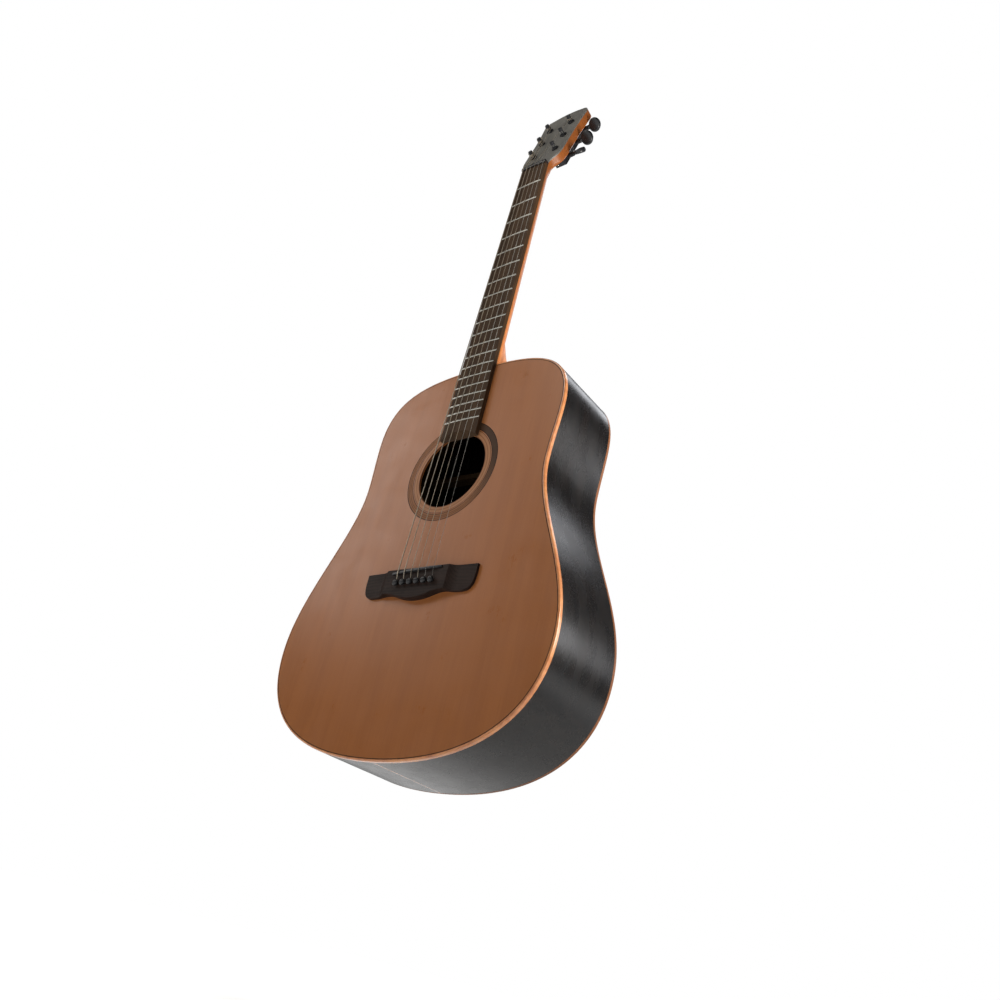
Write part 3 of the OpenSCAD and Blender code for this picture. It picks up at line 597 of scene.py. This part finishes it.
top = mesh("soundboard_plate", [soundboard_part()])
finish_piece(top, MAT["cedar_top"], "guitar", ["soundboard"])


def ring_part(r0, r1):
    """One flat ring of the rosette, let into the top."""
    loops = [circle(r0, 0), circle(r1, 0), circle(r1, INLAY), circle(r0, INLAY)]
    return loft([[loop[k] for loop in loops] for k in range(HOLE_STEPS)], True)


ring = mesh("rosette_pale", [ring_part(HOLE_R, INNER_RING_R)])
finish_piece(ring, MAT["pale_ring"], "guitar", ["rosette_inner"])
ring = mesh("rosette_dark", [ring_part(OUTER_RING_R, ROSETTE_R)])
finish_piece(ring, MAT["ring_wood"], "guitar", ["rosette_outer"])


# ---- fingerboard ---------------------------------------------------------------------------
def board_w(z):
    """The board's width at a height."""
    return NUT_W + (JOINT_W - NUT_W) * (NUT_Z - z) / (NUT_Z - BODY_LEN)


def arch_drop(x):
    """How far the arched board falls away from its crown."""
    return BOARD_R - sqrt(BOARD_R**2 - x * x)


def board_part():
    """The arched board with eased edges, its end cut round the soundhole."""
    half, ease, end_w, steps, lanes = 0.5, 0.5, 56, 24, 16
    edge = (0, 1.0), (0.3, 0.3), (1.0, 0)
    across = [(-half, 0.0, 0)] + [(-half, c, s) for c, s in edge]
    across += [(-half + i / lanes, 0, 0) for i in range(1, lanes)]
    across += [(half, -c, s) for c, s in reversed(edge)] + [(half, 0.0, 0)]
    rings = []
    for k in range(steps + 1):
        t = k / steps
        ring = []
        for i, (u, c, s) in enumerate(across):
            z_end = HOLE_Z + sqrt(BOARD_END_R**2 - (u * end_w) ** 2)
            z = z_end + t * (NUT_Z - z_end)
            x = u * board_w(z) + c * ease
            low = i in (0, len(across) - 1)
            y = 0 if low else -BOARD_T + arch_drop(x) + s * ease
            ring.append((x, y, z))
        rings.append(ring)
    return loft(rings)


board = mesh("fingerboard_arched", [board_part()])
finish_piece(board, MAT["rosewood"], "guitar", ["fingerboard"])


# ---- neck and headstock --------------------------------------------------------------------
SHAFT_DEPTH, SHAFT_LOSS, SHAFT_POWER = 16.6, 2.1, 2.15
BEND_DEPTH, BEND_LOSS, BEND_POWER = 14.5, 1.6, 4
BEND_START, BEND_END = -22, 16      # the stretch of the headstock's own length the shaft bends over
HEAD_FLARE = 14.5                   # the widening past the nut over that stretch


def head_point(x, y, s):
    """A point of the headstock's own frame in the row frame."""
    c, d = cos(HEAD_TILT), sin(HEAD_TILT)
    return (x, y * c + s * d, HEAD_Z - y * d + s * c)


def half_oval(w, d, power, steps=28):
    """A section that is flat in front and round behind, squarer as the power rises."""
    pts = []
    for k in range(steps + 1):
        a = pi * k / steps
        c, s = cos(a), sin(a)
        x = w / 2 * (abs(c) ** (2 / power)) * (1 if c > 0 else -1)
        pts.append((x, d * abs(s) ** (2 / power)))
    return pts


def shaft_part():
    """The neck's shaft, which turns and squares off into the back of the headstock."""
    rings = []
    low, high = BODY_LEN + 4, HEAD_Z + BEND_START
    straight, bent = 20, 16
    for k in range(straight + 1):
        t = k / straight
        z = low + t * (high - low)
        section = half_oval(board_w(z), SHAFT_DEPTH - SHAFT_LOSS * t, SHAFT_POWER)
        rings.append([(x, y, z) for x, y in section])
    for k in range(1, bent + 1):
        t = k / bent
        ease = t * t * (3 - 2 * t)
        s = BEND_START + (BEND_END - BEND_START) * t
        if s < 0:
            width, front = board_w(HEAD_Z + s), Vector((0, 0, HEAD_Z + s))
        else:
            width = NUT_W + HEAD_FLARE * (s / BEND_END) ** 1.3
            front = Vector(head_point(0, 0.05, s))
        tilt = HEAD_TILT * ease
        section = half_oval(width, BEND_DEPTH - BEND_LOSS * ease, SHAFT_POWER + BEND_POWER * ease)
        rings.append([(x, front.y + y * cos(tilt), front.z - y * sin(tilt)) for x, y in section])
    return loft(rings)


def spline(points, steps):
    """A smooth curve through points, with the ends kept."""
    ext = [points[0] * 2 - points[1]] + points + [points[-1] * 2 - points[-2]]
    out = []
    for i in range(1, len(ext) - 2):
        p0, p1, p2, p3 = ext[i - 1:i + 3]
        for k in range(steps):
            t = k / steps
            bend = (2 * p0 - 5 * p1 + 4 * p2 - p3) * t * t
            twist = (3 * p1 - p0 - 3 * p2 + p3) * t**3
            out.append(0.5 * (2 * p1 + (p2 - p0) * t + bend + twist))
    return out + [points[-1]]


# The heel's slices, from the board down to the cap: Y, width, reach up the neck.
HEEL_KEYS = (
    (0, JOINT_W, 74), (8, 51, 68), (15, 48, 60), (20, 45.5, 49), (26, 42.5, 39),
    (35, 38.5, 31), (50, 34, 25.5), (75, 29, 21.5), (HEEL_DEPTH, 25, 19))
HEEL_INTO_BODY = 3


def heel_part():
    """The heel: level slices that narrow and shorten with a hollow curve down to the cap."""
    rings = []
    foot = BODY_LEN - HEEL_INTO_BODY
    for y, w, reach in spline([Vector(v) for v in HEEL_KEYS], 5):
        section = half_oval(w, reach + HEEL_INTO_BODY, 2.1, 32)
        rings.append([(x, y, foot + z) for x, z in section])
    return loft(rings)


# Half the headstock's outline, in its own frame: the edge, then the top.
HEAD_HALF = [Vector(v) for v in (
    (20.9, 0), (22, 4), (24.9, 8.5), (29, 13), (32, 18), (33.8, 24), (34.8, 32), (35, 45),
    (35, 62), (35, 85), (35.6, 102), (36.6, 116), (37.8, 128), (38.8, 139))]
HEAD_TOP = [Vector(v) for v in ((29.5, 155.2), (22, 157.1), (12, 159), (0, 160))]


def head_outline():
    """The whole outline, each top corner rounded by a curve."""
    side = spline(HEAD_HALF, 4)
    start, end = side[-1], HEAD_TOP[0]
    corner = bezier(start, start + Vector((0.9, 9)), end + Vector((6.5, -1.5)), end, 10)[1:]
    half = side + corner + spline(HEAD_TOP, 4)
    return half + [Vector((-p.x, p.y)) for p in reversed(half) if p.x > 1e-6]


HEAD = head_outline()
HEAD_IN = inward(HEAD)
for _i in (0, len(HEAD) - 1):
    HEAD_IN[_i] = Vector((-1 if _i == 0 else 1, 0))


SOFT_REACH = 30         # how far up the headstock its rear edge stays rounder


def head_plate(y0, y1, r0, r1, soft=0.0):
    """The headstock's outline between two depths, its rear edge rounder where the neck runs in."""
    rings = []
    rounds = [(False, v) for v in (90, 60, 30, 0)] + [(True, v) for v in range(0, 91, 15)]
    for rear, angle in rounds:
        a = radians(angle)
        ring = []
        for p, n in zip(HEAD, HEAD_IN):
            r = r1 + soft * max(0, 1 - p.y / SOFT_REACH) ** 2 if rear else r0
            d = r - r * cos(a)
            y = y1 - r + r * sin(a) if rear else y0 + r - r * sin(a)
            ring.append(head_point(p.x + n.x * d, y, max(p.y + n.y * d, 0)))
        rings.append(ring)
    return loft(rings)


neck_parts = shaft_part(), heel_part(), head_plate(0, HEAD_T, 0.02, 2.4, 7)
neck = union("neck_shaft", [mesh(n, [part], 0) for n, part in zip("abc", neck_parts)])
clean(neck, 32)
finish_piece(neck, MAT["mahogany"], "guitar", ["neck"])
veneer = mesh("head_veneer", [head_plate(-VENEER_T, 0, 0.6, 0.02)])
finish_piece(veneer, MAT["grey_veneer"], "guitar", ["headstock_veneer"])


# ---- bridge --------------------------------------------------------------------------------
SCOOP_IN, SCOOP_OUT, SCOOP_POWER = 47, 62, 2.6     # the step from the middle down to the wings
WING_FALL, WING_RUN = 0.6, 23                      # the wings' slope towards their points


def bridge_height(x):
    """Full in the middle, then a steep scooped step down to thin wings."""
    x = abs(x)
    if x <= SCOOP_IN:
        return BRIDGE_H
    if x >= SCOOP_OUT:
        return WING_H - WING_FALL * (x - SCOOP_OUT) / WING_RUN
    t = (x - SCOOP_IN) / (SCOOP_OUT - SCOOP_IN)
    return WING_H + (BRIDGE_H - WING_H) * (1 - t) ** SCOOP_POWER


def bridge_edge():
    """Half the bridge's lower edge, from the middle: belly, step, and wing up to its point."""
    def curve(*corners, steps):
        return bezier(*(Vector(c) for c in corners), steps)

    z, wing, tip = BELLY_Z, BELLY_Z - 2, BRIDGE_L / 2
    belly = curve((0, BRIDGE_BACK), (22, BRIDGE_BACK), (28, z), (43, z), steps=22)
    step = curve((43, z), (50, z), (54, wing), (62, wing), steps=16)
    point = curve((62, wing), (80, z - 3), (tip + 1.5, z + 2), (tip, BRIDGE_FRONT), steps=26)
    return belly + step + point[:-1]


def bridge_part():
    """Sections across the bridge, from one wing's point to the other's."""
    low = bridge_edge()
    both = [Vector((-p.x, p.y)) for p in reversed(low) if p.x > 1e-6] + low
    rings = []
    for p in both:
        h = bridge_height(p.x)
        r = min(1.1, h * 0.4, (BRIDGE_FRONT - p.y) * 0.3)
        ring = [(p.y, 0)]
        ring += [(p.y + r + u, -h + r + v) for u, v in arc(0, 0, r, 180, 270, 4)]
        ring += [(BRIDGE_FRONT - r + u, -h + r + v) for u, v in arc(0, 0, r, 270, 360, 4)]
        ring += [(BRIDGE_FRONT, 0)]
        rings.append([(p.x, y, z) for z, y in ring])
    return loft(rings)


bridge = mesh("bridge_carved", [bridge_part()], 28)
finish_piece(bridge, MAT["bridge_wood"], "guitar", ["bridge"])


# ---- tuner buttons -------------------------------------------------------------------------
def at_post(i):
    """From a tuner's own frame, with +X out to its button, to the row frame."""
    hand = -1 if i <= 3 else 1
    row = i - 1 if i <= 3 else 6 - i
    tilt = Matrix.Translation((0, 0, HEAD_Z)) @ Matrix.Rotation(-HEAD_TILT, 4, "X")
    place = Matrix.Translation((hand * POST_X, 0, POST_S + row * POST_STEP))
    return tilt @ place @ Matrix.Diagonal((hand, 1, 1, 1))


# A button's face as shares of its half size and half thickness, from the middle to the rim.
BUTTON_LEVELS = [(0.05, 1.0), (0.35, 0.985), (0.62, 0.955), (0.8, 0.9), (0.9, 0.8),
                 (0.965, 0.62), (0.995, 0.32), (1.0, 0)]


def button_part():
    """An oval button with a rounded rim and faintly domed faces, thinner at its stem."""
    rings = []
    both = BUTTON_LEVELS + [(f, -y) for f, y in reversed(BUTTON_LEVELS[:-1])]
    for f, h in both:
        ring = []
        for a in turn(48):
            x = BUTTON_L / 2 * (1 + f * cos(a))
            z = BUTTON_W / 2 * f * sin(a)
            thick = 0.62 + 0.38 * min(1, max(0, x / (BUTTON_L * 0.75)))
            ring.append((x, h * BUTTON_T / 2 * thick, z))
        rings.append(ring)
    return loft(rings)


SHAFT_R, THREAD_R, THREADS, THREAD_START, THREAD_STEP = 1.9, 2.4, 5, -4.1, 1.75


def shaft_profile():
    """The button's shaft from the worm inside the housing out to the collar at the button."""
    worm = []
    for k in range(THREADS):
        x = THREAD_START + k * THREAD_STEP
        worm += [(SHAFT_R, x), (THREAD_R, x + 0.35), (THREAD_R, x + 0.85), (SHAFT_R, x + 1.2)]
    inner = [(0.01, -6), (1.6, -6), (SHAFT_R, -5.7)]
    collar = [(SHAFT_R, 16.2), (2.9, 16.5), (3.4, 17.1), (3.4, 18.5), (2.7, 19.3), (2.4, 21)]
    return inner + worm + collar + [(0.01, 21)]


def tuner_button(i):
    """One key: its shaft and its button, turned as it rests in the photo."""
    along_x = Matrix.Rotation(pi / 2, 4, "Y")
    to_shaft = at_post(i) @ Matrix.Translation((0, WORM_Y, WORM_S))
    at_rest = Matrix.Rotation(radians(BUTTON_TURNS[i - 1]), 4, "X")
    parts = [
        placed(revolve(shaft_profile(), 32), to_shaft @ along_x),
        placed(button_part(), to_shaft @ Matrix.Translation((BUTTON_X, 0, 0)) @ at_rest),
    ]
    obj = mesh(f"button_{i}", parts)
    finish_piece(obj, MAT["black_plastic"], f"key_{i}", [f"tuner_button_{i}"])


for _i in range(1, 7):
    tuner_button(_i)


# ---- CAD nodes that stay -------------------------------------------------------------------
# The bevel in mm on the edges of the CAD nodes that need one.
ROUNDED = {
    "tuner_housings": 1.2, "tuner_bushings": 0.35, "saddle": 0.5, "nut": 0.3,
    "heel_cap": 0.5, "tuner_screws": 0.15,
    **{f"tuner_post_{i}": 0.3 for i in range(1, 7)},
}
for _name, _node in NODES.items():
    if _node.hide_render:
        continue
    for _slot in _node.material_slots:
        _slot.material = MAT[_slot.material.name.split(".")[0]]
    if _name in ROUNDED:
        weld = _node.modifiers.new("weld", "WELD")
        weld.merge_threshold = 1e-6
        bevel = _node.modifiers.new("edge", "BEVEL")
        bevel.width, bevel.segments, bevel.limit_method = ROUNDED[_name] * MM, 3, "ANGLE"
        bevel.angle_limit, bevel.harden_normals = radians(38), True


# ---- camera, floor and lights --------------------------------------------------------------
# The camera fitted to the photo, with places in metres and angles in degrees.
CAMERA_AT, CAMERA_AZ, CAMERA_EL, CAMERA_ROLL = (0.7068, -0.6514, -0.1696), 43.476, -27.351, 14.005
CAMERA_LENS, SENSOR = 32.909, 36
FLOOR_Z, FLOOR_HALF = -0.23, 9
TARGET = Vector((0, 0.05, 0.42))


def aim(obj, place, direction, roll=0.0):
    """Points an object's -Z along a direction, turned by a roll in degrees."""
    d = Vector(direction).normalized()
    right = d.cross(Vector((0, 0, 1))).normalized()
    top = right.cross(d)
    c, s = cos(radians(roll)), sin(radians(roll))
    right, top = right * c + top * s, top * c - right * s
    obj.matrix_world = Matrix.Translation(place) @ Matrix((right, top, -d)).transposed().to_4x4()


camera = bpy.data.objects.new("camera", bpy.data.cameras.new("camera"))
bpy.context.scene.collection.objects.link(camera)
camera.data.lens, camera.data.sensor_width = CAMERA_LENS, SENSOR
camera.data.clip_start, camera.data.clip_end = 0.01, 50
_az, _el = radians(CAMERA_AZ), radians(CAMERA_EL)
_view = (-sin(_az) * cos(_el), cos(_az) * cos(_el), -sin(_el))
aim(camera, CAMERA_AT, _view, CAMERA_ROLL)
bpy.context.scene.camera = camera


def paper():
    """The floor: white to the camera but for a painted shadow under the guitar, while its glow on
    the guitar is weaker on the treble side, which keeps the black side's reflections dark."""
    s = Shader("paper")
    color = s.grey(s.ramp(s.noise(400, 3), 0.3, 0.7, 0.86, 0.88))
    # Painted shadow: the floor's glow to the camera falls to half under the guitar.
    seen_with_painted_shadow = s.ramp(s.length_from((0, 0, FLOOR_Z / MM)), 60, 300, 0.5, 1.0)
    glow = s.ramp(s.length_from((450, 100, FLOOR_Z / MM)), 350, 1450, 0.05, 0.85)
    eye = s.node("ShaderNodeLightPath").outputs["Is Camera Ray"]
    rest = s.math("SUBTRACT", 1.0, eye)
    strength = s.math("ADD", s.math("MULTIPLY", eye, seen_with_painted_shadow), s.math("MULTIPLY", rest, glow))
    return s.done(color, 0.8, Emission_Color=(1, 1, 1, 1), Emission_Strength=strength)


floor = bpy.data.objects.new("floor", bpy.data.meshes.new("floor"))
_signs = (-1, -1), (1, -1), (1, 1), (-1, 1)
_corners = [(u * FLOOR_HALF, v * FLOOR_HALF, FLOOR_Z) for u, v in _signs]
floor.data.from_pydata(_corners, [], [(0, 1, 2, 3)])
floor.data.materials.append(paper())
bpy.context.scene.collection.objects.link(floor)


def softbox(name, place, width, height, watts, color):
    """A rectangular area light that faces the guitar and is not seen itself."""
    light = bpy.data.lights.new(name, "AREA")
    light.shape, light.size, light.size_y = "RECTANGLE", width, height
    light.energy, light.color = watts, color
    obj = bpy.data.objects.new(name, light)
    bpy.context.scene.collection.objects.link(obj)
    obj.visible_camera = False
    aim(obj, place, TARGET - Vector(place))


softbox("left", (-1.5, -0.95, 1.15), 0.65, 0.9, 5.7, (1, 0.97, 0.94))
softbox("front", (-0.35, -1.15, 1.6), 0.9, 0.9, 8.8, (1, 0.95, 0.89))
softbox("right", (0.8, 0.27, 0.41), 0.4, 0.4, 8.2, (1, 0.96, 0.91))
softbox("back_high", (0.0, 1.75, 2.4), 0.8, 0.8, 5.5, (0.93, 0.95, 1))
softbox("back_right", (1.75, 1.6, 0.95), 0.55, 0.65, 4.7, (0.95, 0.96, 1))

# The world is a faint fill for the guitar and plain white to the camera.
world = bpy.data.worlds.new("studio")
bpy.context.scene.world = world
world.use_nodes = True
_tree = world.node_tree
_tree.nodes.clear()
_out = _tree.nodes.new("ShaderNodeOutputWorld")
_soft, _seen = _tree.nodes.new("ShaderNodeBackground"), _tree.nodes.new("ShaderNodeBackground")
_soft.inputs[0].default_value, _soft.inputs[1].default_value = (0.93, 0.96, 1, 1), 0.05
_seen.inputs[0].default_value, _seen.inputs[1].default_value = (1, 1, 1, 1), 1.0
_path, _mix = _tree.nodes.new("ShaderNodeLightPath"), _tree.nodes.new("ShaderNodeMixShader")
_tree.links.new(_path.outputs["Is Camera Ray"], _mix.inputs[0])
_tree.links.new(_soft.outputs[0], _mix.inputs[1])
_tree.links.new(_seen.outputs[0], _mix.inputs[2])
_tree.links.new(_mix.outputs[0], _out.inputs[0])

bpy.context.scene.view_settings.view_transform = "Standard"
bpy.context.scene.view_settings.look = "None"
